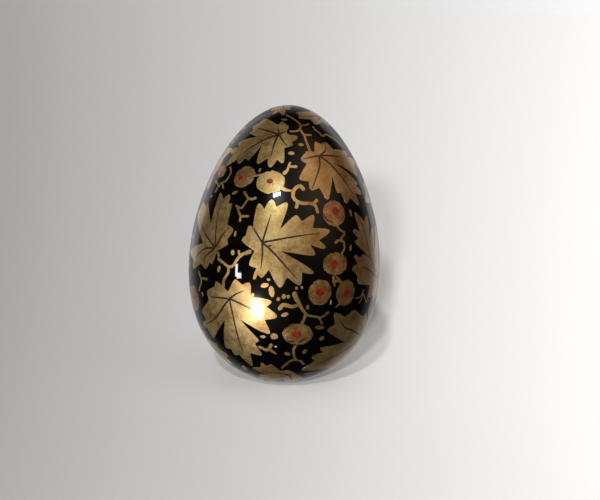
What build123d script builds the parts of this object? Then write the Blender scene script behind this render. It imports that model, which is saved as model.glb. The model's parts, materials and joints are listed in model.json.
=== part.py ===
"""Painted wooden egg: a turned linden core under four coats, each coat a solid of its own.

Millimetres, +Z up the egg's axis, origin at the centre of the flat foot, front towards -Y.
"""

import os
from math import cos, hypot, radians, sin, sqrt, tan

from build123d import *

# The egg as it stands, coats included
HEIGHT = 100.0  # foot to crown
GIRTH_RADIUS = 34.1  # halfway up; the widest place is a little lower and 1.5% wider
BLUNTNESS = 0.35  # how much fuller the lower half is than the upper one
END_SLIMNESS = 0.043  # how much slimmer both ends are than an ellipse's
FOOT_CUT = 0.6  # what is turned off the blunt end to make the flat that it stands on

# Coats from the outside in, each with its thickness
COATS = {
    "lacquer_coat": 0.20,
    "background_paint": 0.10,
    "metal_coat": 0.10,
    "ground_coat": 0.30,
}

# The bare wood under the egg, and the hole for the spike that holds it while it is coated
BARE_RADIUS = 5.5
SPIKE_RADIUS = 1.5
SPIKE_DEPTH = 12.0
DRILL_POINT_ANGLE = 118.0

HALF_LENGTH = (HEIGHT + FOOT_CUT) / 2
MIDDLE = HALF_LENGTH - FOOT_CUT

# The outline goes by an angle, from the blunt end at -90 to the crown at 90, and is cut into spans
CROWN = 90
SPANS = 16


def drawn_in(level):
    """What the outline's radius is divided by at level, from -1 at the blunt end to 1 at the crown."""
    return sqrt(1 + BLUNTNESS * level + END_SLIMNESS * level**2)


def direction(angle):
    """Which way the outline runs at angle, as (outwards, upwards), one long."""
    level, across = sin(radians(angle)), cos(radians(angle))
    divisor = drawn_in(level)
    divisor_slope = (BLUNTNESS + 2 * END_SLIMNESS * level) * across / (2 * divisor)
    outwards = -GIRTH_RADIUS * (level * divisor + across * divisor_slope) / divisor**2
    upwards = HALF_LENGTH * across
    length = hypot(outwards, upwards)
    return outwards / length, upwards / length


def outline_point(angle, inset):
    """The outline's point at angle, as (radius, height), moved square in by inset."""
    level, across = sin(radians(angle)), cos(radians(angle))
    outwards, upwards = direction(angle)
    radius = GIRTH_RADIUS * across / drawn_in(level) - inset * upwards
    return max(radius, 0.0), MIDDLE + HALF_LENGTH * level + inset * outwards


def foot_angle(inset):
    """The angle at which the outline, moved in by inset, meets the foot, moved up by as much."""
    low, high = -90.0, -60.0
    while high - low > 1e-9:
        middle = (low + high) / 2
        if outline_point(middle, inset)[1] < inset:
            low = middle
        else:
            high = middle
    return high


def side_curve(inset):
    """The egg's side from the foot's edge to the crown, inset deep. It joins the current BuildLine."""
    start = foot_angle(inset)
    angles = [start + (CROWN - start) * span / SPANS for span in range(SPANS + 1)]
    return Spline(
        [outline_point(a, inset) for a in angles],
        tangents=[direction(start), direction(CROWN)],
        tangent_scalars=[1, 1],
    )


def make_coat(outer_inset, inner_inset):
    """One coat: what lies between two insets, open round the bare wood of the foot."""
    with BuildPart() as coat:
        with BuildSketch(Plane.XZ):
            with BuildLine():
                outside = side_curve(outer_inset)
                inside = side_curve(inner_inset)
                Line(outside @ 1, inside @ 1)
                Polyline(
                    inside @ 0,
                    (BARE_RADIUS, inner_inset),
                    (BARE_RADIUS, outer_inset),
                    outside @ 0,
                )
            make_face()
        revolve(axis=Axis.Z)
    return coat.part


def make_core(inset):
    """The turned wood: a side that the coats cover, and a bare foot with the spike hole in it."""
    drill_point = SPIKE_DEPTH + SPIKE_RADIUS / tan(radians(DRILL_POINT_ANGLE / 2))
    with BuildPart() as core:
        with BuildSketch(Plane.XZ):
            with BuildLine():
                side = side_curve(inset)
                Polyline(
                    side @ 1,
                    (0, drill_point),
                    (SPIKE_RADIUS, SPIKE_DEPTH),
                    (SPIKE_RADIUS, 0),
                    (BARE_RADIUS, 0),
                    (BARE_RADIUS, inset),
                    side @ 0,
                )
            make_face()
        revolve(axis=Axis.Z)
    return core.part


def save(part, name):
    part.label = name
    export_step(part, f"parts/{name}.step")


os.makedirs("parts", exist_ok=True)
depth = 0.0
for coat_name, thickness in COATS.items():
    save(make_coat(depth, depth + thickness), coat_name)
    depth += thickness
save(make_core(depth), "wood_core")
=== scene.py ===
"""The painted egg's looks: black lacquer with gold leaves, berries and tendrils, over the CAD frame.

A place on the egg is (azimuth, rise): degrees from the front, growing to the right, and millimetres
up the side from the foot's edge. A leaf's own points are (direction, reach): degrees clockwise from
straight up the side, and millimetres along the surface.
"""

import json
from math import atan2, cos, pi, radians, sin

import bpy
import numpy as np
from mathutils import Matrix, Vector
from mathutils.geometry import delaunay_2d_cdt

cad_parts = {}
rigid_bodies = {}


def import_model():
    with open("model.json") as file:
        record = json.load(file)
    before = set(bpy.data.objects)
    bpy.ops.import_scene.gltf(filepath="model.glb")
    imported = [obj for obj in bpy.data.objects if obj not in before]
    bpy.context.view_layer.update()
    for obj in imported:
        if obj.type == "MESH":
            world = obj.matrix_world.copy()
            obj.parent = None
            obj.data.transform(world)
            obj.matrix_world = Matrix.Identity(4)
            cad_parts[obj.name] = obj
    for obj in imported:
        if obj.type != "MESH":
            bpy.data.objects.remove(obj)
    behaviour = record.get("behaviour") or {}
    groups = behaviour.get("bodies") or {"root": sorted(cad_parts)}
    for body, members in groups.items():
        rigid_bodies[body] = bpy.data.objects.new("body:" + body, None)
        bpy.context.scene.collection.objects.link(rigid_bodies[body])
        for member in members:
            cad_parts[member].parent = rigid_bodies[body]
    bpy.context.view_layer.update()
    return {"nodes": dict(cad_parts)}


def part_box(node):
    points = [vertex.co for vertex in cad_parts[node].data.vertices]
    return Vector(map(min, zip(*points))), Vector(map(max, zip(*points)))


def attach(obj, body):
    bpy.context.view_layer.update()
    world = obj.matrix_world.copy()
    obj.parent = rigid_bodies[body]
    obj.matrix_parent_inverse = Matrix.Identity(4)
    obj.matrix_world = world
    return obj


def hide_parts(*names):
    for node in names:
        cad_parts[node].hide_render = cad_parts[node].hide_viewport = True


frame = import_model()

MM = 0.001

# The egg's outline, as the CAD model has it, in millimetres
lowest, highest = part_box("lacquer_coat")
HEIGHT = (highest.z - lowest.z) / MM
GIRTH_RADIUS = 34.1
BLUNTNESS = 0.35
END_SLIMNESS = 0.043
FOOT_CUT = 0.6
BARE_RADIUS = 5.5
PAINT_DEPTH = 0.3  # lacquer and background paint together
HALF_LENGTH = (HEIGHT + FOOT_CUT) / 2
MIDDLE = HALF_LENGTH - FOOT_CUT

# How far each kind of film stands out of the black, so that no two kinds share a plane, and how deep it goes
LEAF_UP, STROKE_UP, BERRY_UP, DROP_UP = 0.026, 0.022, 0.030, 0.018
FILM_DOWN = 0.05

# How finely the films are cut: the gaps along a stroke, a leaf's edge and an oval's edge, and inside a film
STROKE_STEP, LEAF_STEP, OVAL_STEP, INNER_STEP = 0.35, 0.4, 0.35, 1.0

# A leaf's tips: half their width, the most it is of a tip's length, and how round they are
TIP_WIDTH, TIP_SHARE, TIP_ROUNDNESS = 1.0, 0.36, 0.9

# How far a painted edge strays: a leaf's, a stroke's, a berry's, a berry's dot's and a drop's
LEAF_SHAKE, STROKE_SHAKE, BERRY_SHAKE, DOT_SHAKE, DROP_SHAKE = 0.05, 0.04, 0.18, 0.14, 0.07


# -------- the egg's surface

def outline(angle):
    """(radius, height) of the outline at angle, from -pi/2 at the blunt end to pi/2 at the crown."""
    level = np.sin(angle)
    drawn_in = np.sqrt(1 + BLUNTNESS * level + END_SLIMNESS * level**2)
    return GIRTH_RADIUS * np.cos(angle) / drawn_in, MIDDLE + HALF_LENGTH * level


def outside(points):
    """0 on the surface, more outside it, less inside it."""
    level = (points[:, 2] - MIDDLE) / HALF_LENGTH
    spread = points[:, 0] ** 2 + points[:, 1] ** 2
    return spread * (1 + BLUNTNESS * level + END_SLIMNESS * level**2) / GIRTH_RADIUS**2 + level**2 - 1


def steepest(points):
    """The gradient of outside()."""
    level = (points[:, 2] - MIDDLE) / HALF_LENGTH
    divisor = (1 + BLUNTNESS * level + END_SLIMNESS * level**2) / GIRTH_RADIUS**2
    spread = (points[:, 0] ** 2 + points[:, 1] ** 2) / GIRTH_RADIUS**2
    upwards = (spread * (BLUNTNESS + 2 * END_SLIMNESS * level) + 2 * level) / HALF_LENGTH
    return np.stack([2 * points[:, 0] * divisor, 2 * points[:, 1] * divisor, upwards], 1)


def unit(vectors):
    return vectors / np.maximum(np.linalg.norm(vectors, axis=-1, keepdims=True), 1e-12)


def normal(points):
    return unit(steepest(points))


def settle(points):
    """The points moved onto the surface."""
    for _ in range(3):
        slope = steepest(points)
        points = points - slope * (outside(points) / np.sum(slope**2, 1))[:, None]
    return points


side_angles = np.linspace(np.arcsin(-MIDDLE / HALF_LENGTH), pi / 2, 4001)
side_radii, side_heights = outline(side_angles)
side_rises = np.concatenate([[0], np.cumsum(np.hypot(np.diff(side_radii), np.diff(side_heights)))])


def place(azimuth, rise):
    """The point on the surface at a place."""
    radius = np.interp(rise, side_rises, side_radii)
    height = np.interp(rise, side_rises, side_heights)
    turn = radians(azimuth)
    return np.array([radius * sin(turn), -radius * cos(turn), height])


def compass(point):
    """(right, up) along the surface at a point."""
    turn = atan2(point[0], -point[1])
    right = np.array([cos(turn), sin(turn), 0.0])
    return right, np.cross(normal(point[None])[0], right)


def walk(start, flat, steps=20):
    """Flat points round the place start, laid on the egg by walking straight over its surface."""
    origin = place(*start)
    right, up = compass(origin)
    reach = np.linalg.norm(flat, axis=1)
    heading = unit(flat[:, :1] * right + flat[:, 1:] * up)
    points = np.repeat(origin[None], len(flat), 0)
    for _ in range(steps):
        points = settle(points + heading * (reach / steps)[:, None])
        facing = normal(points)
        heading = unit(heading - facing * np.sum(heading * facing, 1)[:, None])
    return points


def flatten(start, places):
    """Places as flat points round start, the inverse of walk()."""
    origin = place(*start)
    right, up = compass(origin)
    targets = np.array([place(*p) for p in places])
    flat = np.zeros((len(targets), 2))
    for _ in range(12):
        missing = targets - walk(start, flat)
        flat = flat + np.stack([missing @ right, missing @ up], 1)
    return flat


# -------- flat shapes, in millimetres

def polar(points):
    """(direction, reach) as flat points."""
    return np.array([(r * sin(radians(d)), r * cos(radians(d))) for d, r in points])


def bezier(a, b, c, d, steps):
    t = (np.arange(steps) / steps)[:, None]
    return (1 - t) ** 3 * a + 3 * t * (1 - t) ** 2 * b + 3 * t**2 * (1 - t) * c + t**3 * d


def curve_through(points):
    """A smooth curve through the points."""
    points = np.array(points, float)
    padded = np.concatenate([[2 * points[0] - points[1]], points, [2 * points[-1] - points[-2]]])
    pieces = []
    for before, start, end, after in zip(padded, padded[1:], padded[2:], padded[3:]):
        count = max(2, round(np.linalg.norm(end - start) / STROKE_STEP))
        pieces.append(bezier(start, start + (end - before) / 6, end - (after - start) / 6, end, count))
    return np.concatenate([*pieces, points[-1:]])


def wobble(line, amount, seed):
    """A closed line shaken a little, as a hand does it."""
    away = np.roll(line, -1, 0) - np.roll(line, 1, 0)
    square = unit(np.stack([away[:, 1], -away[:, 0]], 1))
    run = np.cumsum(np.linalg.norm(away, axis=1)) / 2
    turns = 2 * pi * run / run[-1]
    waves = np.random.default_rng(seed).uniform(0, 2 * pi, 12)
    shake = sum(np.sin((i + 3) * 2 * turns + wave) / (1 + i / 4) for i, wave in enumerate(waves))
    return line + square * (amount * shake / 3)[:, None]


def leaf_edge(cuts, seed):
    """A leaf's edge through cuts, which are notch and tip in turn. Notches are sharp and tips round."""
    points = polar(cuts)
    count = len(points)
    pieces = []
    for i in range(1, count, 2):
        notch, tip, next_notch = points[i - 1], points[i], points[(i + 1) % count]
        ahead = unit(tip - (notch + next_notch) / 2)
        across = np.array([ahead[1], -ahead[0]])
        if np.dot(across, next_notch - notch) < 0:
            across = -across
        room = min(np.linalg.norm(tip - notch), np.linalg.norm(tip - next_notch))
        width = min(TIP_WIDTH, TIP_SHARE * room)
        for start, end, side in ((notch, tip, -1), (tip, next_notch, 1)):
            base = start if side < 0 else end
            shoulder = tip - ahead * width * TIP_ROUNDNESS + across * side * width
            leaving = base + (shoulder - base) * 0.6
            rounding = tip + across * side * width * TIP_ROUNDNESS
            steps = max(4, round(np.linalg.norm(end - start) / LEAF_STEP))
            if side < 0:
                pieces.append(bezier(base, leaving, rounding, tip, steps))
            else:
                pieces.append(bezier(tip, rounding, leaving, base, steps))
    return wobble(np.concatenate(pieces), LEAF_SHAKE, seed)


def stroke(points, widths):
    """A brush stroke along the points, as wide as widths say from its start to its end, with round ends."""
    line = curve_through(points)
    run = np.concatenate([[0], np.cumsum(np.linalg.norm(np.diff(line, axis=0), axis=1))])
    half = np.interp(run / run[-1], np.linspace(0, 1, len(widths)), widths) / 2
    ahead = unit(np.gradient(line, axis=0))
    left = np.stack([-ahead[:, 1], ahead[:, 0]], 1)
    bend = np.linspace(0, pi, 8)[1:-1, None]
    start_cap = line[0] + half[0] * (np.cos(bend) * left[0] - np.sin(bend) * ahead[0])
    end_cap = line[-1] + half[-1] * (-np.cos(bend) * left[-1] + np.sin(bend) * ahead[-1])
    aside = left * half[:, None]
    return np.concatenate([line - aside, end_cap, (line + aside)[::-1], start_cap])


def oval(centre, length, width, tilt, seed, shake):
    """A painted oval: tilt is the long axis's direction."""
    count = max(12, round((length + width) * pi / 2 / OVAL_STEP))
    turns = np.arange(count) * 2 * pi / count
    along, across = polar([(tilt, 1)])[0], polar([(tilt + 90, 1)])[0]
    lengthways = np.outer(np.cos(turns) * length / 2, along)
    sideways = np.outer(np.sin(turns) * width / 2, across)
    return wobble(np.array(centre) + lengthways + sideways, shake, seed)


# -------- films of paint

def anticlockwise(line):
    x, y = line[:, 0], line[:, 1]
    area = np.sum(x * np.roll(y, -1) - y * np.roll(x, -1))
    return line if area > 0 else line[::-1]


def inner_points(edge):
    """Points in staggered rows, inside the closed edge and clear of it."""
    (x0, y0), (x1, y1) = edge.min(0), edge.max(0)
    rows = np.arange(y0, y1, INNER_STEP * 0.87)  # for triangles with nearly even sides
    columns = np.arange(x0, x1, INNER_STEP)
    points = np.array([(x + (i % 2) * INNER_STEP / 2, y) for i, y in enumerate(rows) for x in columns])
    if not len(points):
        return np.zeros((0, 2))
    ends = np.roll(edge, -1, 0)
    px, py = points[:, :1], points[:, 1:]
    crossing = (edge[:, 1] > py) != (ends[:, 1] > py)
    rise = np.where(ends[:, 1] == edge[:, 1], 1e-9, ends[:, 1] - edge[:, 1])
    hits = crossing & (px < (ends[:, 0] - edge[:, 0]) * (py - edge[:, 1]) / rise + edge[:, 0])
    gap = np.min(np.hypot(px - edge[:, 0], py - edge[:, 1]), 1)
    return points[(hits.sum(1) % 2 == 1) & (gap > INNER_STEP * 0.5)]


def film(start, shapes, up):
    """Shapes laid on the egg as one thin closed film. Each shape is (edge, paint, inside): its closed edge,
    the number of its material, and whether it is only painted on the shapes before it. The film stands
    up mm out of the surface. Returns points, faces, each face's paint, and how many of the faces are on
    top with the normals of their points."""
    coords, faces, shape_paints, only_on = [], [], [], []
    for edge, paint, inside in shapes:
        edge = anticlockwise(edge)
        faces.append(list(range(len(coords), len(coords) + len(edge))))
        coords += [Vector(p) for p in edge]
        shape_paints.append(paint)
        only_on.append(inside)
        if not inside:
            coords += [Vector(p) for p in inner_points(edge)]
    flat, _, tris, _, _, owners = delaunay_2d_cdt(coords, [], faces, 1, 1e-4, True)
    kept = []
    for tri, owner in zip(tris, owners):
        if any(not only_on[o] for o in owner):
            kept.append((tri, shape_paints[max(owner)]))
    used = sorted({v for tri, _ in kept for v in tri})
    number = {v: i for i, v in enumerate(used)}
    points = walk(start, np.array([flat[v] for v in used]))
    facing = normal(points)
    count = len(points)
    top = [tuple(number[v] for v in tri) for tri, _ in kept]
    colour = [paint for _, paint in kept]
    sides = {}
    for tri, paint in zip(top, colour):
        for a, b in zip(tri, tri[1:] + tri[:1]):
            if sides.pop((b, a), None) is None:
                sides[a, b] = paint
    bottom = [tuple(v + count for v in reversed(tri)) for tri in top]
    walls = [(b, a, a + count, b + count) for a, b in sides]
    rest = list(sides.values())
    vertices = np.concatenate([points + facing * up, points - facing * FILM_DOWN])
    return vertices, top + bottom + walls, colour + colour + rest, (len(top), facing)


painted = []  # the points of every film laid so far


def make_mesh(name, parts):
    """One object from several films, in the four paints."""
    painted.extend(point for points, *_ in parts for point in points)
    vertices, faces, face_paints, smooth_normals = [], [], [], []
    offset = 0
    for points, part_faces, part_paints, (tops, facing) in parts:
        vertices.append(points)
        for i, face in enumerate(part_faces):
            faces.append(tuple(v + offset for v in face))
            face_paints.append(part_paints[i])
            if i < tops:
                smooth_normals += [tuple(facing[v]) for v in face]
            else:
                smooth_normals += [(0, 0, 0)] * len(face)
        offset += len(points)
    mesh = bpy.data.meshes.new(name)
    mesh.from_pydata((np.concatenate(vertices) * MM).tolist(), [], faces)
    for material in paints:
        mesh.materials.append(material)
    mesh.polygons.foreach_set("material_index", face_paints)
    mesh.polygons.foreach_set("use_smooth", [True] * len(faces))
    mesh.update()
    mesh.normals_split_custom_set(smooth_normals)
    piece = bpy.data.objects.new(name, mesh)
    bpy.context.scene.collection.objects.link(piece)
    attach(piece, "root")
    return piece


# -------- materials

class Shader:
    """A node material, built up from its Principled shader."""

    def __init__(self, name, **sockets):
        self.material = bpy.data.materials.new(name)
        self.material.use_nodes = True
        self.tree = self.material.node_tree
        self.principled = self.tree.nodes["Principled BSDF"]
        for socket, value in sockets.items():
            self.principled.inputs[socket.replace("_", " ")].default_value = value
        self.coordinates = self.tree.nodes.new("ShaderNodeTexCoord").outputs["Object"]

    def node(self, kind, **values):
        node = self.tree.nodes.new(kind)
        for key, value in values.items():
            if isinstance(value, bpy.types.NodeSocket):
                self.tree.links.new(value, node.inputs[key.replace("_", " ")])
            elif key.replace("_", " ") in node.inputs:
                node.inputs[key.replace("_", " ")].default_value = value
            else:
                setattr(node, key, value)
        return node

    def noise(self, size, detail=3.0, roughness=0.55, stretch=(1, 1, 1)):
        """Noise whose grains are size metres across."""
        mapping = self.node("ShaderNodeMapping", Vector=self.coordinates)
        mapping.inputs["Scale"].default_value = stretch
        return self.node(
            "ShaderNodeTexNoise",
            Vector=mapping.outputs[0], Scale=1 / size, Detail=detail, Roughness=roughness,
        ).outputs["Fac"]

    def ramp(self, value, *stops):
        """A colour for value, from stops of (position, colour)."""
        node = self.node("ShaderNodeValToRGB", Fac=value)
        ramp = node.color_ramp
        while len(ramp.elements) < len(stops):
            ramp.elements.new(0.5)
        for element, (position, colour) in zip(ramp.elements, stops):
            element.position = position
            element.color = (*colour, 1)
        return node.outputs["Color"]

    def scale(self, value, low, high, start=0.0, end=1.0):
        """Value from start to end as a number from low to high."""
        return self.node(
            "ShaderNodeMapRange", Value=value, From_Min=start, From_Max=end, To_Min=low, To_Max=high
        ).outputs["Result"]

    def darken(self, factor, colour, shade):
        """The colour multiplied by the shade, as far as factor says."""
        node = self.tree.nodes.new("ShaderNodeMix")
        node.data_type = "RGBA"
        node.blend_type = "MULTIPLY"
        node.inputs[0].default_value = factor
        self.tree.links.new(colour, node.inputs[6])
        self.tree.links.new(shade, node.inputs[7])
        return node.outputs[2]

    def to(self, socket, value):
        self.tree.links.new(value, self.principled.inputs[socket])

    def bump(self, height, strength, distance):
        node = self.node("ShaderNodeBump", Height=height, Strength=strength, Distance=distance)
        self.to("Normal", node.outputs["Normal"])


LACQUER = dict(Coat_Weight=1.0, Coat_Roughness=0.035, Coat_IOR=1.5)


def gold_material():
    """Metal powder under baked amber lacquer: mottled, with fine dark and light grains."""
    s = Shader("gold", Metallic=0.9, **LACQUER)
    cloud = s.noise(0.006, 4.0)
    grain = s.noise(0.0007, 3.0, 0.7)
    colour = s.ramp(cloud, (0.3, (0.50, 0.26, 0.08)), (0.5, (0.74, 0.44, 0.165)), (0.7, (0.92, 0.61, 0.28)))
    speckle = s.ramp(grain, (0.30, (0.55, 0.48, 0.40)), (0.5, (1, 1, 1)), (0.75, (1.0, 1.0, 1.0)))
    s.to("Base Color", s.darken(0.8, colour, speckle))
    s.to("Roughness", s.scale(s.noise(0.0015), 0.38, 0.54, 0.3, 0.7))
    return s.material


def brown_material():
    """Thin dark brown oil paint, a little of the gold showing through."""
    s = Shader("vein_brown", Metallic=0.2, **LACQUER)
    colour = s.ramp(s.noise(0.0009), (0.35, (0.016, 0.005, 0.002)), (0.7, (0.060, 0.020, 0.006)))
    s.to("Base Color", colour)
    s.to("Roughness", s.scale(s.noise(0.002), 0.4, 0.6))
    return s.material


def red_material():
    """Vermilion dabbed on the berries' centres."""
    s = Shader("berry_red", Metallic=0.35, **LACQUER)
    colour = s.ramp(
        s.noise(0.0012), (0.3, (0.24, 0.010, 0.001)), (0.55, (0.40, 0.026, 0.001)), (0.8, (0.60, 0.11, 0.010))
    )
    s.to("Base Color", colour)
    s.to("Roughness", s.scale(s.noise(0.002), 0.4, 0.6))
    return s.material


def berry_material():
    """The berries' gold, glazed brown in patches."""
    s = Shader("berry_gold", Metallic=0.9, **LACQUER)
    cloud = s.noise(0.0035, 4.0, 0.6)
    grain = s.noise(0.0008, 3.0, 0.7)
    colour = s.ramp(cloud, (0.3, (0.42, 0.17, 0.048)), (0.5, (0.66, 0.33, 0.115)), (0.7, (0.86, 0.52, 0.23)))
    speckle = s.ramp(grain, (0.33, (0.40, 0.30, 0.22)), (0.55, (1, 1, 1)))
    s.to("Base Color", s.darken(0.8, colour, speckle))
    s.to("Roughness", s.scale(s.noise(0.0015), 0.42, 0.6, 0.3, 0.7))
    return s.material


def black_material():
    """Black oil paint under clear lacquer: deep, with faint brown clouds where it lies thin."""
    s = Shader("black_lacquer", Specular_IOR_Level=0.0, **LACQUER)
    cloud = s.noise(0.008, 4.0)
    s.to("Base Color", s.ramp(cloud, (0.35, (0.0012, 0.0010, 0.0012)), (0.75, (0.0060, 0.0035, 0.0025))))
    s.to("Roughness", s.scale(s.noise(0.003), 0.45, 0.65))
    return s.material


def wood_material():
    """Bare linden: pale end grain with faint rings round the pith, which is a little off the axis."""
    s = Shader("linden")
    mapping = s.node("ShaderNodeMapping", Vector=s.coordinates, Location=(0.009, 0.004, 0))
    rings = s.node(
        "ShaderNodeTexWave", wave_type="RINGS", rings_direction="Z", Vector=mapping.outputs[0],
        Scale=110.0, Distortion=2.5, Detail=3.0, Detail_Scale=1.5,
    ).outputs["Fac"]
    pores = s.noise(0.00025, 2.0, stretch=(1, 1, 0.1))
    colour = s.ramp(rings, (0.0, (0.60, 0.43, 0.26)), (0.6, (0.72, 0.55, 0.36)), (1.0, (0.50, 0.34, 0.19)))
    shade = s.ramp(pores, (0.3, (0.6, 0.5, 0.4)), (0.6, (1, 1, 1)))
    s.to("Base Color", s.darken(0.5, colour, shade))
    s.to("Roughness", s.scale(pores, 0.55, 0.8))
    s.bump(pores, 0.4, 0.0001)
    return s.material


def ground_material():
    """Clay and oil ground: dull brown, brushed on."""
    s = Shader("clay_ground")
    s.to("Base Color", s.ramp(s.noise(0.002, 5.0), (0.3, (0.20, 0.11, 0.06)), (0.7, (0.36, 0.21, 0.12))))
    s.to("Roughness", s.scale(s.noise(0.001), 0.6, 0.85))
    s.bump(s.noise(0.0006, 3.0, stretch=(1, 1, 4)), 0.3, 0.0001)
    return s.material


GOLD, BROWN, RED, BERRY = range(4)
paints = [gold_material(), brown_material(), red_material(), berry_material()]
black = black_material()
coatings = {"wood_core": wood_material(), "ground_coat": ground_material(), "metal_coat": paints[GOLD]}
for node, material in coatings.items():
    node_materials = frame["nodes"][node].data.materials
    node_materials.clear()
    node_materials.append(material)


# -------- the black body

def black_body(segments=240, rows=170, inner_rows=40):
    """The black paint and the lacquer as one turned shell, open round the bare wood of the foot."""
    steps = np.linspace(0, 1, rows)
    radii, heights = outline(side_angles[0] + (pi / 2 - side_angles[0]) * steps)
    profile = [(BARE_RADIUS, PAINT_DEPTH), (BARE_RADIUS, 0.0), *zip(radii, heights)]
    outer = np.stack([radii, 0 * radii, heights], 1)
    inner = outer[:: rows // inner_rows][::-1]
    inner = inner - normal(inner) * PAINT_DEPTH
    inner = inner[inner[:, 2] > PAINT_DEPTH + 0.05]
    profile += [(max(r, 0.0), h) for r, _, h in inner]
    profile += [(BARE_RADIUS + 0.4, PAINT_DEPTH)]
    profile = np.array(profile)
    turns = np.arange(segments) * 2 * pi / segments
    vertices, ring_of = [], []
    for radius, height in profile:
        if radius < 1e-6:
            ring_of.append([len(vertices)] * segments)
            vertices.append((0, 0, height))
        else:
            ring_of.append([len(vertices) + i for i in range(segments)])
            vertices += [(radius * cos(t), radius * sin(t), height) for t in turns]
    faces = []
    for low, high in zip(ring_of, ring_of[1:] + ring_of[:1]):
        for i in range(segments):
            j = (i + 1) % segments
            face = list(dict.fromkeys([low[i], low[j], high[j], high[i]]))
            if len(face) > 2:
                faces.append(face)
    mesh = bpy.data.meshes.new("black_lacquer")
    mesh.from_pydata((np.array(vertices) * MM).tolist(), [], faces)
    mesh.materials.append(black)
    mesh.polygons.foreach_set("use_smooth", [True] * len(faces))
    mesh.update()
    body = bpy.data.objects.new("black_lacquer", mesh)
    bpy.context.scene.collection.objects.link(body)
    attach(body, "root")
    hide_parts("lacquer_coat", "background_paint")
    foot_rings = [set(ring_of[i]) for i in (0, 1, 2, len(ring_of) - 1)]
    sharp = [any(ring.issuperset(edge.vertices) for ring in foot_rings) for edge in mesh.edges]
    mesh.attributes.new("sharp_edge", "BOOLEAN", "EDGE").data.foreach_set("value", sharp)


black_body()


# -------- leaves

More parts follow.
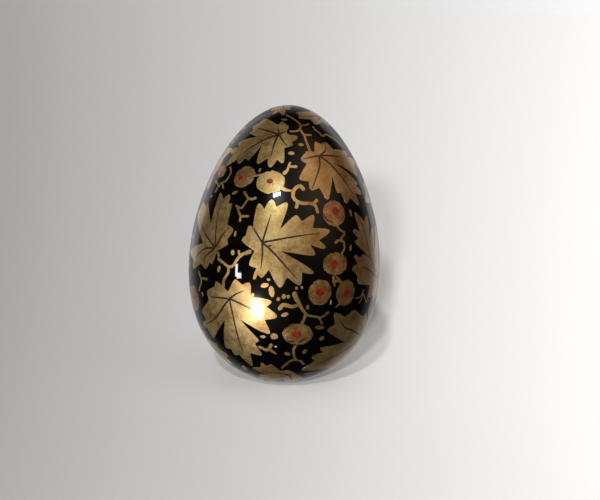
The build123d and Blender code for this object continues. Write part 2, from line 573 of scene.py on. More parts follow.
# Each leaf form is its cuts (notch and tip in turn, from the stem round) and its veins. Many of these
# numbers, and of the places further down, come from the photo: points picked by eye there, turned into
# places on the egg by a measuring script and rounded. The rest were set one by one.
LEAF_FORMS = {
    "spread": (
        [(219, 4), (273, 7.5), (291, 6.5), (316, 7.5), (323, 6.5), (349, 13.5), (358, 11.5), (7, 15),
         (16, 13), (27, 16), (49, 7.5), (47, 15), (57, 15.5), (57, 20), (69, 18), (75, 24), (83, 19.5),
         (90, 22), (88, 16.5), (98, 18.5), (110, 7), (116, 20.5), (122, 17), (134, 19.5), (140, 14.5),
         (154, 16.5), (162, 9.5), (178, 12), (185, 11), (190, 13), (189, 9), (206, 9)],
        [[(9, 0.5), (12, 4.5), (12, 10)], [(322, 0), (322, 6.5)], [(73, 0.5), (75, 13), (76, 20)],
         [(127, 0.5), (127, 5), (132, 17)], [(175, 0.5), (175, 4), (179, 9)], [(115, 2.5), (100, 3.3)]],
    ),
    "reaching": (
        [(54, 3), (32, 5), (20, 5), (359, 6), (346, 4.5), (317, 11), (303, 11.5), (296, 12.5), (286, 11),
         (281, 12), (266, 8), (267, 16.5), (259, 15.5), (262, 20), (253, 18.5), (246, 22.5), (241, 17),
         (233, 17.5), (232, 14.5), (225, 14), (231, 7), (207, 13), (194, 10), (185, 13), (174, 10),
         (164, 11.5), (152, 6), (122, 6.5), (117, 5.5), (89, 6.5), (84, 3.5), (75, 3)],
        [[(343, 0.5), (343, 3)], [(290, 0.5), (290, 4.5), (293, 10.5)], [(245, 0.5), (245, 6.5), (243, 17)],
         [(200, 0.5), (195, 3.5), (189, 9)], [(145, 0.5), (142, 3), (141, 5.5)], [(60, 0), (53, 2.5)]],
    ),
    "hanging": (
        [(316, 2), (291, 5), (280, 5.5), (263, 7), (243, 6), (228, 12), (213, 11), (205, 13.5), (192, 12),
         (180, 16), (155, 8.5), (161, 14.5), (155, 15), (155, 19), (145, 18.5), (139, 23), (133, 19),
         (124, 22), (123, 17), (119, 19), (114, 5.5), (107, 19), (97, 18), (86, 20), (85, 14.5),
         (78, 15.5), (68, 7.5), (39, 7), (22, 5), (2, 5.5)],
        [[(262, 0), (262, 4), (263, 6.5)], [(192, 0.5), (192, 4.5), (204, 13)],
         [(131, 0.5), (131, 5.5), (137, 18.5)], [(89, 0.5), (89, 4.5), (90, 10)],
         [(80, 0.5), (59, 3.5), (46, 5)]],
    ),
    "long": (
        [(349, 2.5), (19, 7.5), (42, 7.5), (50, 10), (75, 8.5), (72, 9.7), (80, 9.5), (89, 15.5), (97, 14),
         (107, 18), (117, 14.5), (130, 18.5), (152, 8), (147, 18), (154, 18.5), (156, 23.5), (166, 21.5),
         (173, 28.5), (180, 22.5), (185, 23.5), (188, 21), (195, 21.5), (198, 8.5), (213, 21.5), (223, 20),
         (230, 22), (231, 17.5), (241, 17.5), (255, 10.5), (272, 11), (295, 7.5), (310, 8)],
        [[(54, 0), (54, 3.5), (58, 6.5)], [(106, 0.5), (106, 4.5), (109, 9.5)],
         [(171, 0.5), (171, 9.5), (174, 21.5)], [(224, 0.5), (220, 10.5), (227, 19)], [(263, 1), (264, 9)]],
    ),
    "branching": (
        [(122, 1.5), (67, 6), (52, 6.5), (42, 10), (23, 9.5), (12, 16.5), (7, 16), (4, 19), (356, 17),
         (349, 19.5), (329, 9), (325, 18), (320, 17.5), (313, 21.5), (307, 20.5), (300, 21.5), (275, 7.5),
         (258, 20.5), (249, 16), (237, 17), (228, 10), (207, 9), (201, 6), (190, 6)],
        [[(300, 0.5), (300, 10.5), (302, 15.5)], [(345, 0.5), (350, 11.5), (353, 14)],
         [(27, 0.5), (27, 6), (33, 9)], [(262, 0.5), (258, 6.5), (246, 13)],
         [(232, 0.5), (232, 6), (222, 7.5)]],
    ),
    "rising": (
        [(259, 7), (272, 14.5), (283, 16), (289, 18.5), (296, 16.5), (303, 19), (304, 17), (311, 15.5),
         (324, 9), (315, 21.5), (321, 20.5), (322, 24.5), (328, 21.5), (334, 28), (341, 22.5), (349, 23.5),
         (340, 16), (356, 18.5), (348, 10), (12, 19), (20, 16.5), (27, 22), (34, 18), (43, 20.5),
         (47, 16.5), (58, 17), (60, 8.5), (80, 13), (92, 10.5), (104, 12), (118, 6), (150, 8.5),
         (165, 7), (185, 8.5), (205, 6.5), (228, 9)],
        [[(298, 0.5), (298, 8), (296, 13.5)], [(322, 0.5), (322, 8.5), (330, 15), (336, 23.5)],
         [(20, 0.5), (25, 8), (28, 17)], [(85, 0.5), (88, 8)], [(185, 0.5), (188, 5)]],
    ),
    "curling": (
        [(180, 6.5), (209, 17), (222, 21.5), (229, 27.5), (240, 23), (247, 25), (252, 21), (257, 23),
         (265, 12.5), (277, 24), (285, 22.5), (293, 25.5), (296, 20.5), (308, 19), (319, 12), (331, 11.5),
         (345, 6), (10, 12), (25, 10), (38, 14), (50, 11.5), (62, 12), (85, 5.5), (100, 12), (112, 10),
         (126, 13), (140, 10), (155, 11)],
        [[(288, 0.5), (288, 12), (287, 17.5), (292, 23)], [(242, 0.5), (242, 7.5), (238, 15.5), (234, 22.5)],
         [(312, 0.5), (312, 10)], [(36, 0.5), (38, 9)], [(125, 0.5), (125, 8)]],
    ),
    "low": (
        [(96, 3), (136, 8.5), (146, 7.5), (158, 10.5), (168, 8.5), (178, 9.5), (195, 5), (212, 11.5),
         (220, 10), (229, 13.5), (238, 10.5), (246, 11.5), (254, 7), (269, 13.5), (282, 11), (297, 12),
         (296, 10), (308, 9.5), (304, 5), (343, 3.5)],
        [[(280, 0.5), (280, 4.5), (267, 10)], [(228, 0.5), (228, 4), (229, 9)], [(164, 0.5), (164, 7)]],
    ),
    "broad": (
        [(20, 6), (38, 13), (46, 13), (54, 17.7), (66, 14.2), (84, 14.9), (97, 13.6), (114, 16.8), (122, 13),
         (133, 14), (148, 6.5), (165, 13), (175, 11.5), (186, 14), (196, 11), (207, 11.5), (222, 5.5),
         (240, 14), (250, 13), (260, 17), (268, 14), (280, 16.5), (300, 6), (318, 14), (328, 12.5),
         (340, 16.5), (350, 13), (2, 13.5)],
        [[(54, 0.5), (60, 8), (56, 14.5)], [(110, 0.5), (110, 8), (113, 13.5)], [(186, 0.5), (186, 10)],
         [(260, 0.5), (262, 13)], [(338, 0.5), (338, 12.5)]],
    ),
    "side": (
        [(5, 4), (25, 8.5), (40, 7.5), (60, 10), (76, 8.5), (91, 15.5), (98, 15), (109, 17.9), (117, 15),
         (128, 17), (142, 7.5), (158, 13.5), (168, 12), (180, 14.5), (190, 12), (202, 13), (218, 6),
         (236, 15), (246, 13), (256, 17.5), (266, 14.5), (278, 16), (298, 6), (318, 12), (330, 10.5),
         (345, 13)],
        [[(105, 0.5), (105, 9), (109, 14)], [(180, 0.5), (180, 10)], [(254, 0.5), (255, 13)],
         [(335, 0.5), (335, 8)], [(55, 0.5), (57, 6.5)]],
    ),
    "crown": (
        [(236, 4.2), (264, 8.9), (280, 8), (297, 11.9), (305, 10.6), (313, 11.2), (325, 4.5), (350, 4.2),
         (15, 3.2), (45, 8.5), (58, 7.5), (72, 11), (84, 9.5), (96, 12), (112, 5), (135, 11.5),
         (146, 9.5), (158, 11), (178, 4.5), (212, 5.2)],
        [[(285, 0.5), (292, 9)], [(80, 0.5), (84, 8)], [(145, 0.5), (146, 7.5)], [(255, 0.5), (262, 6)]],
    ),
}

# Each leaf is its form, its place, how far it is turned, its size, and whether it is mirrored.
LEAVES = {
    "leaf_front": ("spread", (-12.9, 69.0), 0, 1.0, False),
    "leaf_top": ("reaching", (-11.6, 108.3), 0, 1.0, False),
    "leaf_upper_right": ("hanging", (29.2, 100.2), 0, 1.0, False),
    "leaf_lower_left": ("long", (-31.7, 48.4), 0, 1.0, False),
    "leaf_left": ("branching", (-44.6, 65.0), 0, 1.0, False),
    "leaf_right": ("rising", (72.8, 54.0), 0, 1.0, False),
    "leaf_lower_right": ("curling", (72.0, 31.9), 0, 1.0, False),
    "leaf_foot": ("low", (9.9, 15.9), 0, 1.0, False),
    "leaf_crown": ("reaching", (-155, 121), 139, 0.74, False),
    "leaf_crown_right": ("crown", (80, 116.6), 0, 0.97, False),
    "leaf_upper_left": ("broad", (-101, 92), 0, 0.97, False),
    "leaf_low_left": ("side", (-84, 26), 0, 1.0, False),
    "leaf_right_shoulder": ("broad", (102.5, 87.5), 312, 1.0, True),
    "leaf_back_upper": ("branching", (178, 95), 20, 0.95, False),
    "leaf_back": ("spread", (142, 58), 20, 1.0, True),
    "leaf_back_left": ("long", (-162, 66), 20, 1.0, False),
    "leaf_back_far_left": ("hanging", (-115, 60), 0, 1.05, False),
    "leaf_back_low": ("curling", (-173.5, 25), 10, 0.72, False),
    "leaf_back_low_right": ("side", (123.5, 24), 180, 0.85, True),
    "leaf_back_low_left": ("low", (-123.5, 21), 0, 1.1, False),
}


# How wide a vein is at its start, halfway and at its end
VEIN_WIDTHS = (0.75, 0.6, 0.25)


def placed(points, turn, size, mirrored):
    """Flat points mirrored, made larger and turned clockwise by turn degrees."""
    x, y = np.array(points, float).T * size
    if mirrored:
        x = -x
    angle = radians(turn)
    return np.stack([x * cos(angle) + y * sin(angle), y * cos(angle) - x * sin(angle)], 1)


def make_leaf(name, form, where, turn, size, mirrored, seed):
    cuts, veins = LEAF_FORMS[form]
    shapes = [(placed(leaf_edge(cuts, seed), turn, size, mirrored), GOLD, False)]
    for vein in veins:
        shapes.append((placed(stroke(polar(vein), VEIN_WIDTHS), turn, size, mirrored), BROWN, True))
    piece = make_mesh(name, [film(where, shapes, LEAF_UP)])
    return piece


leaves = [make_leaf(name, *facts, seed) for seed, (name, facts) in enumerate(LEAVES.items())]
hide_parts("metal_coat")


# -------- tendrils

# How wide the brush that draws the tendrils is, in millimetres
BRUSH = 0.68

# Each tendril is its strokes: how many brushes wide from start to end, and the places that it goes through.
TENDRILS = {
    "tendril_top": [
        ((1.3, 1.0, 1.2), [(-6, 118), (2, 117), (9, 115.5), (15, 114), (16, 112), (12, 110.5), (6, 110),
            (2, 110)]),
        ((1.2, 1.2, 1.4), [(14, 111), (18, 108.5), (19, 106), (21, 102)]),
        ((1.1, 0.9), [(16, 112.8), (24, 113), (30, 113.5)]),
        ((1.3, 1.0), [(18, 108.5), (23, 108.5), (27, 108.5)]),
    ],
    "tendril_shoulder": [
        ((1.0, 1.3, 1.0, 1.3), [(35, 112), (37, 110.5), (40, 109.5), (43, 108), (50, 108.5), (55, 107.5),
            (61, 106), (66, 104)]),
    ],
    "sprig_top": [
        ((1.9, 1.2, 1.2), [(-2, 93.5), (0, 94.5), (1, 96), (2, 97.3)]),
        ((1.1, 1.5), [(1, 96), (4, 96), (7, 96)]),
    ],
    "sprig_upper_left": [
        ((1.5, 1.1), [(-30, 85.5), (-28, 84.5), (-26, 83.5)]),
        ((1.2, 1.3), [(-26, 83.5), (-23, 83.5), (-21, 84)]),
        ((1.1, 1.0, 1.2), [(-26, 83.5), (-28, 81.5), (-30, 80), (-34, 80.5)]),
        ((1.1, 1.1), [(-33, 80), (-31, 78.5), (-29, 77)]),
        ((1.2, 1.2, 1.2), [(-29, 75.5), (-29, 77), (-24, 77.5)]),
    ],
    "tendril_hook": [
        ((2.0, 1.7, 1.8, 1.6, 1.5), [(12, 88), (10, 89), (7, 88.5), (5, 87), (5, 85), (8, 83.5), (12, 83),
            (17, 83), (20, 82), (21, 80)]),
        ((1.6, 1.8), [(8, 83.5), (7, 81.7)]),
        ((1.5, 1.7), [(18, 82.6), (21, 84)]),
    ],
    "stem_left": [((1.1, 1.3), [(-43, 64), (-42, 63.5), (-41, 62.5)])],
    "branch_left": [
        ((1.6, 1.4, 1.5, 1.6, 2.0), [(-41, 61.5), (-37, 60.5), (-33, 59.5), (-30, 60), (-28, 62),
            (-26, 63.5), (-24, 64.5), (-20, 65.5)]),
        ((1.5, 1.4, 1.8), [(-33, 59.5), (-33, 57.5), (-35, 55.5), (-36, 54), (-36, 52.5)]),
        ((1.4, 1.4), [(-26, 63.5), (-27, 65.2)]),
    ],
    "sprig_left": [
        ((1.5, 1.1, 1.1, 1.4), [(-50, 53.5), (-56, 53), (-56, 51.5), (-59, 48.5)]),
        ((1.4, 1.1), [(-59, 55), (-56, 53)]),
    ],
    "tendril_upper_left": [
        ((1.3, 1.0, 1.1, 1.3), [(-52, 93.5), (-49, 92), (-49, 90.5), (-51, 88.5), (-56, 87), (-59, 84)]),
        ((1.1, 1.3), [(-54, 87.5), (-51, 86)]),
        ((1.1, 1.3), [(-58, 86.5), (-64, 87.5)]),
    ],
    "tendril_right": [
        ((1.2, 1.0, 1.2, 1.0, 1.2), [(34, 75), (36, 73.5), (39, 72.5), (38, 71.5), (36, 70.5), (38, 69),
            (38, 67), (36, 65.5)]),
        ((1.0, 1.3), [(37, 69.5), (34, 70), (32, 69.3)]),
    ],
    "sprig_between": [
        ((1.4, 1.0), [(30, 57.5), (30.5, 56), (31, 54.5)]),
        ((1.6, 1.1), [(30, 56), (33, 56), (36, 55.3)]),
        ((1.0, 0.9), [(32, 57.5), (34, 56.5), (36, 55.3)]),
    ],
    "sprig_right": [
        ((0.9, 0.9, 0.9), [(48, 49), (51, 49), (53, 49.5), (55, 51.3)]),
        ((0.9, 0.9, 0.9), [(52, 47), (54, 48.5), (55, 50)]),
        ((0.9, 0.9), [(55, 50), (60, 46.5), (61, 48.8)]),
    ],
    "branch_lower": [
        ((2.4, 2.0, 1.5, 1.2, 1.0, 1.2), [(7, 52), (8, 50.5), (10, 48.5), (12, 46.5), (15, 44.5), (18, 44),
            (22, 43.5), (23, 43), (25, 41)]),
        ((1.5, 1.9, 2.1), [(10, 48.3), (6, 47.5), (1, 48), (-1, 46.7)]),
        ((1.0, 1.3), [(23, 43.1), (26, 44), (28, 45)]),
        ((1.4, 1.6), [(14, 44.6), (13.5, 43), (12.5, 41.5)]),
    ],
    "tendril_lower": [
        ((1.6, 1.3, 1.3, 1.4), [(10, 32), (9, 30.5), (10, 27.5), (12, 25.5)]),
        ((1.2, 1.4, 1.3), [(12, 25.5), (8, 25), (5, 23), (2, 20.8)]),
        ((1.2, 1.4), [(12, 25.5), (16, 24.7), (19, 23)]),
    ],
    "sprig_lower": [
        ((1.4, 2.0, 1.8, 1.2), [(-14, 31), (-10, 30), (-7, 30), (-3, 28.5)]),
        ((1.6, 1.8), [(-8, 30), (-6, 32.3)]),
    ],
    "berry_link": [
        ((0.9, 0.9, 1.2), [(-27.5, 91.4), (-24, 91.9), (-20, 92.3)]),
        ((2.0, 1.7, 0.9), [(-4, 88.2), (0, 87.5), (3.5, 87.3)]),
    ],
    "berry_tail": [((1.5, 0.9), [(36, 48), (33, 46.8)])],
}


def make_tendril(name, strokes, where=None, turn=0, size=1.0, mirrored=False):
    """A tendril where it is drawn, or a copy of it at another place."""
    middle = tuple(np.mean([p for _, points in strokes for p in points], 0))
    shapes = []
    for widths, points in strokes:
        edge = stroke(flatten(middle, points), np.array(widths) * BRUSH)
        edge = wobble(edge, STROKE_SHAKE, len(points))
        shapes.append((placed(edge, turn, size, mirrored), GOLD, False))
    piece = make_mesh(name, [film(where or middle, shapes, STROKE_UP)])


for name, strokes in TENDRILS.items():
    make_tendril(name, strokes)

# The back's tendrils are the front's forms again: form, place, turn, size, mirrored
BACK_TENDRILS = {
    "tendril_back_crown": ("tendril_shoulder", (150, 114), 0, 1.0, True),
    "tendril_back_crown_left": ("tendril_top", (-120, 110.5), 0, 0.9, True),
    "hook_back_left": ("tendril_hook", (-147, 82), 20, 1.0, True),
    "branch_back": ("branch_lower", (160, 50), 100, 1.0, True),
    "branch_back_left": ("branch_left", (-137, 47), 60, 1.0, False),
    "tendril_back_left": ("tendril_lower", (-108, 71), 0, 1.0, False),
    "sprig_back_low_left": ("sprig_upper_left", (-149, 34), 60, 1.0, False),
    "branch_back_low_right": ("branch_left", (118, 43), 0, 0.9, True),
    "sprig_back_right": ("sprig_upper_left", (122, 105), 20, 1.0, False),
    "tendril_back": ("tendril_right", (136, 79), 40, 1.0, False),
    "sprig_back_low": ("tendril_lower", (150, 12), 180, 0.9, False),
    "sprig_foot_left": ("sprig_lower", (-55, 11), 200, 1.0, False),
    "sprig_foot_right": ("sprig_between", (80, 11), 90, 1.0, False),
    "sprig_foot_back": ("sprig_lower", (-105, 9), 20, 1.0, True),
}
for name, (form, *facts) in BACK_TENDRILS.items():
    make_tendril(name, TENDRILS[form], *facts)


# -------- berries

# Each berry is its place, length, width and tilt, and its red dab's place, width and height.
BERRIES = {
    "berry_upper": [((-34, 91), 8.6, 7.4, 50, (-37, 90.5), 1.9, 1.6)],
    "berry_pale": [((-12, 90), 10.0, 8.0, 80, (-12.5, 90.3), 2.3, 1.8)],
    "berry_right": [((33, 79.3), 8.9, 9.0, 160, (34, 80), 2.6, 2.9)],
    "berries_right": [
        ((31.4, 62), 9.7, 7.8, 94, (30.5, 62), 2.4, 3.1),
        ((22, 52.4), 9.0, 8.5, 176, (22, 52.5), 3.2, 2.6),
        ((39.3, 51.5), 9.1, 8.2, 175, (40, 51.5), 2.5, 2.9),
    ],
    "berry_lower": [((10.6, 37), 10.7, 8.4, 99, (10, 37), 3.3, 2.6)],
    "berry_left": [((-68, 44.5), 9.5, 8.5, 20, (-68, 45), 2.4, 2.4)],
    "berry_upper_left": [((-61.5, 91.5), 4.8, 5.2, 0, (-62.5, 91.5), 1.2, 1.2)],
    "berries_far_left": [
        ((-89, 70), 9.0, 8.4, 30, (-89, 70), 2.2, 2.0),
        ((-129, 76), 9.4, 8.6, 100, (-129, 76), 2.0, 2.4),
    ],
    "berries_back_low_left": [
        ((-112, 36), 9.2, 8.4, 80, (-112, 36), 2.2, 2.2),
        ((-131, 37), 8.8, 8.0, 10, (-131, 37), 2.4, 2.0),
    ],
    "berries_back_low_right": [
        ((101, 41), 9.4, 8.6, 60, (101, 41), 2.6, 2.2),
        ((141, 41), 9.6, 8.4, 100, (141, 41), 2.4, 2.6),
    ],
    "berries_back": [
        ((152, 79), 9.6, 8.8, 80, (152, 79), 2.4, 2.2),
        ((169, 77), 9.0, 8.0, 20, (169, 77), 2.0, 2.4),
        ((-174, 82), 8.4, 7.8, 100, (-174, 82), 2.2, 2.0),
    ],
    "berry_back_crown": [((-145, 112), 6.4, 5.8, 50, (-145, 112), 1.6, 1.8)],
}

# Brown strokes on the berries' gold: how wide in millimetres from start to end, and their places
BERRY_MARKS = {
    "berry_right": [((0.3, 0.6, 0.3), [(25, 79.2), (27, 77.2), (31, 76.3)])],
    "berry_lower": [
        ((0.4, 0.7, 0.4), [(4, 34.6), (6.5, 34), (9, 34.4)]),
        ((0.3, 0.6, 0.3), [(11, 34), (13, 34.2), (15.5, 35.4)]),
        ((0.3, 0.5, 0.3), [(2, 38.5), (4, 40), (7, 40.6)]),
    ],
}


def make_berries(name, berries, seed):
    parts = []
    for i, (where, length, width, tilt, dab, dab_width, dab_height) in enumerate(berries):
        paint = GOLD if name == "berry_pale" else BERRY
        shapes = [(oval((0, 0), length, width, tilt, seed + i, BERRY_SHAKE), paint, False)]
        dot = oval(flatten(where, [dab])[0], dab_width, dab_height, 90, seed + i, DOT_SHAKE)
        shapes.append((dot, RED, True))
        for widths, points in BERRY_MARKS.get(name, ()):
            shapes.append((stroke(flatten(where, points), widths), BROWN, True))
        parts.append(film(where, shapes, BERRY_UP))
    piece = make_mesh(name, parts)


for seed, (name, berries) in enumerate(BERRIES.items()):
    make_berries(name, berries, seed * 10)


# -------- drops

# Small dabs between the leaves: place, length, width, tilt
DROPS = {
    "drops_upper": [
        ((13, 104.5), 2.0, 1.3, 90), ((3, 101), 2.3, 1.4, 90), ((-22, 94), 1.6, 0.7, 10),
        ((-9, 115.5), 2.2, 0.9, 90), ((-38, 85), 2.5, 1.1, 60), ((-62, 82), 1.4, 1.1, 90),
    ],
    "drops_middle": [
        ((-31, 71), 2.0, 0.9, 0), ((-31, 64.5), 1.9, 1.5, 0), ((-40, 58), 2.5, 1.3, 20),
        ((47, 79), 2.5, 1.1, 0), ((43, 67), 2.3, 0.9, 10), ((-10, 54.5), 2.9, 1.6, 70),
        ((-6, 52.5), 3.9, 1.9, 170), ((1, 51), 1.8, 1.4, 10), ((3.5, 51), 1.4, 1.2, 0),
        ((-2, 50), 1.4, 1.3, 0), ((2, 44.5), 2.7, 1.4, 65), ((8, 54.0), 1.1, 1.0, 0),
        ((11, 54.3), 1.1, 1.0, 0), ((-8, 56.6), 1.3, 0.9, 90), ((15, 47.3), 1.8, 1.2, 0),
        ((-55, 47.5), 1.8, 1.1, 0),
    ],
    "drops_lower": [
        ((24, 39.5), 3.6, 1.4, 95), ((27, 35), 2.0, 1.8, 0), ((-4, 36), 2.6, 2.4, 90),
        ((-11, 35.5), 2.0, 1.2, 90), ((5, 28.5), 2.3, 1.4, 110), ((17, 29.5), 2.4, 1.5, 20),
        ((29, 16), 3.2, 0.9, 80), ((-35, 17.5), 3.5, 2.2, 20),
    ],
}


def make_drops(name, drops, seed):
    films = []
    for i, (where, length, width, tilt) in enumerate(drops):
        shapes = [(oval((0, 0), length, width, tilt, seed * 50 + i, DROP_SHAKE), GOLD, False)]
        films.append(film(where, shapes, DROP_UP))
    make_mesh(name, films)


DROP_GAP = 1.1  # how far a filling drop keeps from what is painted already


def fill_with_drops(lowest, highest, azimuths, tries, seed):
    """Drops where tries at random find room for one, between the rises and the azimuths."""
    choose = np.random.default_rng(seed)
    taken = np.array(painted)
    drops = []
    for _ in range(tries):
        rise = choose.uniform(lowest, highest)
        azimuth = choose.uniform(*azimuths)
        width = choose.uniform(0.9, 2.4)
        length = width * choose.uniform(1.1, 1.8)
        tilt = choose.uniform(0, 180)
        point = place(azimuth, rise)
        if np.min(np.linalg.norm(taken - point, axis=1)) < length / 2 + DROP_GAP:
            continue
        drops.append(((azimuth, rise), length, width, tilt))
        taken = np.concatenate([taken, [point]])
    return drops


for seed, (name, drops) in enumerate(DROPS.items()):
    make_drops(name, drops, seed)
make_drops("drops_back", fill_with_drops(14, 117, (80, 285), 900, 3), 3)
make_drops("drops_foot", fill_with_drops(3, 13, (-180, 180), 300, 4), 4)


# -------- floor, light and camera

# Shades of the studio's light from left to right; on the floor they are painted into its colour as painted
# light, lighter to the right
GREY, SILVER, WHITE = 0.385, 0.645, 1.0  # the studio's left, middle and right
# How wide the change between them is, from its middle: here, more for each metre away, and at the least
SPREAD_HERE, SPREAD_SLOPE, LEAST_SPREAD = 0.090, 0.213, 0.068


def towards(azimuth, elevation):
    """The direction from the egg's middle to azimuth and elevation."""
    turn, lift = radians(azimuth), radians(elevation)
    return Vector((sin(turn) * cos(lift), -cos(turn) * cos(lift), sin(lift)))


def side_light_gradient(tree, vector, spread_here, least_spread, scale=1.0):
    """(shade, y): grey at the left to white at the right, spreading evenly all the way to the horizon; on the
    floor this is painted light.
    """

    def math(operation, *values):
        node = tree.nodes.new("ShaderNodeMath")
        node.operation = operation
        for socket, value in zip(node.inputs, values):
            if isinstance(value, bpy.types.NodeSocket):
                tree.links.new(value, socket)
            else:
                socket.default_value = value
        return node.outputs[0]

    axes = tree.nodes.new("ShaderNodeSeparateXYZ")
    tree.links.new(vector, axes.inputs[0])
    x, y = axes.outputs["X"], axes.outputs["Y"]
    further = math("MULTIPLY_ADD", y, SPREAD_SLOPE, spread_here)
    spread = math("SQRT", math("ADD", math("MULTIPLY", further, further), least_spread**2))
    across = math("MULTIPLY_ADD", math("DIVIDE", x, spread), 0.5, 0.5)
    ramp_node = tree.nodes.new("ShaderNodeValToRGB")
    tree.links.new(across, ramp_node.inputs["Fac"])
    ramp = ramp_node.color_ramp
    ramp.elements.new(0.5)
    for element, (position, shade) in zip(ramp.elements, ((0.0, GREY), (0.5, SILVER), (1.0, WHITE))):
        element.position = position
        element.color = (shade * scale, shade * scale, shade * scale, 1)
    return ramp_node.outputs["Color"], y


def studio_world():
    """What the camera sees of it goes on as the floor does. What lights the egg is bright behind it and
    dark in front, with a few glows."""
    world = bpy.data.worlds.new("studio")
    bpy.context.scene.world = world
    world.use_nodes = True
    tree = world.node_tree
    direction = tree.nodes.new("ShaderNodeTexCoord").outputs["Generated"]
    shade, y = side_light_gradient(tree, direction, 0.0, WORLD_LEAST_SPREAD)
    behind = tree.nodes.new("ShaderNodeMapRange")
    behind.interpolation_type = "SMOOTHSTEP"
    behind.inputs["From Min"].default_value = BACK_STARTS
    behind.inputs["From Max"].default_value = BACK_FULL
    behind.inputs["To Min"].default_value = FRONT_GLOW
    behind.inputs["To Max"].default_value = BACK_GLOW
    tree.links.new(y, behind.inputs["Value"])
    total = behind.outputs[0]
    for azimuth, elevation, strength, sharpness, colour in GLOWS:
        dot = tree.nodes.new("ShaderNodeVectorMath")
        dot.operation = "DOT_PRODUCT"
        dot.inputs[1].default_value = towards(azimuth, elevation)
        tree.links.new(direction, dot.inputs[0])
        facing = tree.nodes.new("ShaderNodeMath")
        facing.operation = "MAXIMUM"
        facing.inputs[1].default_value = 0.0
        tree.links.new(dot.outputs["Value"], facing.inputs[0])
        lobe = tree.nodes.new("ShaderNodeMath")
        lobe.operation = "POWER"
        lobe.inputs[1].default_value = sharpness
        tree.links.new(facing.outputs[0], lobe.inputs[0])
        tinted = tree.nodes.new("ShaderNodeVectorMath")
        tinted.operation = "SCALE"
        tinted.inputs[0].default_value = [strength * channel for channel in colour]
        tree.links.new(lobe.outputs[0], tinted.inputs["Scale"])
        added = tree.nodes.new("ShaderNodeVectorMath")
        added.operation = "ADD"
        tree.links.new(total, added.inputs[0])
        tree.links.new(tinted.outputs[0], added.inputs[1])
        total = added.outputs[0]
    glow = tree.nodes.new("ShaderNodeBackground")
    tree.links.new(total, glow.inputs["Color"])
    seen = tree.nodes["Background"]
    tree.links.new(shade, seen.inputs["Color"])
    path = tree.nodes.new("ShaderNodeLightPath")
    either = tree.nodes.new("ShaderNodeMixShader")
    tree.links.new(path.outputs["Is Camera Ray"], either.inputs[0])
    tree.links.new(glow.outputs[0], either.inputs[1])
    tree.links.new(seen.outputs[0], either.inputs[2])
    tree.links.new(either.outputs[0], tree.nodes["World Output"].inputs["Surface"])


WORLD_LEAST_SPREAD = 0.01
FRONT_GLOW, BACK_GLOW = 0.008, 0.40
BACK_STARTS, BACK_FULL = 0.35, 0.95  # how far back the glow behind the egg begins, and where it is full

# Soft glows in the dark of the room: azimuth, elevation, strength, sharpness, colour
GLOWS = [
    (50, 42, 0.72, 8, (1.0, 0.70, 0.48)),
    (2, 26, 0.16, 14, (1.0, 0.84, 0.58)),
    (-22, -22, 0.34, 16, (1.0, 0.84, 0.58)),
    (-15, 35.5, 2.2, 90, (0.95, 0.98, 1.0)),
    (-31.5, -27.5, 60, 240, (0.87, 1.0, 1.08)),
]
studio_world()

FLOOR_REACH = 200.0  # metres, so that it ends at the horizon
FLOOR_ALBEDO = 0.8
floor_mesh = bpy.data.meshes.new("floor")
floor_corners = [(FLOOR_REACH * x, FLOOR_REACH * y, 0) for x, y in ((-1, -1), (1, -1), (1, 1), (-1, 1))]
floor_mesh.from_pydata(floor_corners, [], [(0, 1, 2, 3)])
floor = bpy.data.objects.new("floor", floor_mesh)
bpy.context.scene.collection.objects.link(floor)
floor.visible_glossy = False
floor.visible_diffuse = False
floor.visible_shadow = False
floor_shader = Shader("floor", Roughness=0.95, Specular_IOR_Level=0.0)
# The floor's base colour is painted light: darker grey at the left, lighter to white at the right
shade, _ = side_light_gradient(
    floor_shader.tree, floor_shader.coordinates, SPREAD_HERE, LEAST_SPREAD, FLOOR_ALBEDO
)
floor_shader.to("Base Color", shade)
floor_mesh.materials.append(floor_shader.material)

floor_only = bpy.data.collections.new("floor_only")
floor_only.objects.link(floor)


egg_only = bpy.data.collections.new("egg_only")
for thing in bpy.context.scene.objects:
    if thing.type == "MESH" and thing != floor:
        egg_only.objects.link(thing)


def egg_lamp(name, azimuth, elevation, distance, size, radiance, colour=(1, 1, 1), tilt=0.0):
    """A rectangular lamp for the egg alone, at azimuth and elevation from its middle, and facing it."""
    data = bpy.data.lights.new(name, "AREA")
    data.shape = "RECTANGLE"
    data.size, data.size_y = size
    data.energy = radiance * pi * size[0] * size[1]
    data.color = colour
    lamp = bpy.data.objects.new(name, data)
    away = towards(azimuth, elevation)
    axes = away.to_track_quat("Z", "Y") @ Matrix.Rotation(radians(tilt), 3, "Z").to_quaternion()
    lamp.location = Vector((0, 0, MIDDLE * MM)) + away * distance
    lamp.rotation_mode = "QUATERNION"
    lamp.rotation_quaternion = axes
    lamp.visible_camera = False
    lamp.light_linking.receiver_collection = egg_only
    bpy.context.scene.collection.objects.link(lamp)


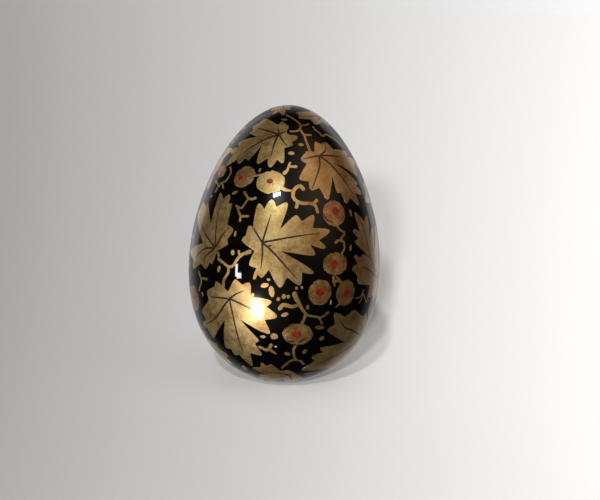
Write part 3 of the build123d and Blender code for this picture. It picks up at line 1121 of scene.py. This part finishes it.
egg_lamp("key_high", -15, 35.5, 0.9, (0.13, 0.026), 150, (0.76, 0.98, 1.0), 12)
egg_lamp("window_tall", -56, -5, 0.9, (0.045, 0.10), 24, (0.92, 0.96, 1.0), 5)
egg_lamp("window_wide", -52.5, -7.5, 0.9, (0.09, 0.045), 24, (0.92, 0.96, 1.0), 5)
egg_lamp("speck_low", -11, -63.5, 0.9, (0.035, 0.03), 9, (0.85, 0.92, 1.0))
egg_lamp("speck_right", 60, -21, 0.9, (0.02, 0.04), 7, (0.9, 0.95, 1.0))
egg_lamp("softbox_left", -142, 20, 1.0, (0.5, 1.1), 0.36)
egg_lamp("softbox_right", 145, 10, 1.0, (0.3, 1.2), 0.3)


def floor_sun(name, azimuth, elevation, irradiance, softness):
    """Light on the floor alone, soft by softness degrees; irradiance is what the floor gets of it."""
    data = bpy.data.lights.new(name, "SUN")
    data.angle = radians(softness)
    data.energy = irradiance / sin(radians(elevation))
    sun = bpy.data.objects.new(name, data)
    sun.rotation_euler = towards(azimuth, elevation).to_track_quat("Z", "Y").to_euler()
    sun.light_linking.receiver_collection = floor_only
    bpy.context.scene.collection.objects.link(sun)


# The low suns throw a shadow that shows along the egg's right side
floor_sun("floor_overhead", 0, 85, 0.55, 60)
for name, azimuth, elevation in (("high", -8, 32), ("middle", -6.5, 18), ("low", -5.5, 9)):
    floor_sun(f"floor_front_{name}", azimuth, elevation, 0.94, 2.5)

# The camera: how high it looks from, how far off it is in metres, and how far the picture is turned
ELEVATION = radians(10)
DISTANCE = 0.5133
ROLL = radians(2.32)
target = Vector((0.00546, 0, 0.04784))
back = Vector((0, -cos(ELEVATION), sin(ELEVATION)))
right = Vector((1, 0, 0))
up = back.cross(right)
camera_right = right * cos(ROLL) + up * sin(ROLL)
camera_up = up * cos(ROLL) - right * sin(ROLL)
camera_data = bpy.data.cameras.new("camera")
camera_data.lens = 85
camera_data.sensor_width = 36
camera = bpy.data.objects.new("camera", camera_data)
axes = Matrix((camera_right, camera_up, back)).transposed().to_4x4()
camera.matrix_world = Matrix.Translation(target + back * DISTANCE) @ axes
bpy.context.scene.collection.objects.link(camera)
bpy.context.scene.camera = camera
bpy.context.scene.view_settings.view_transform = "Standard"
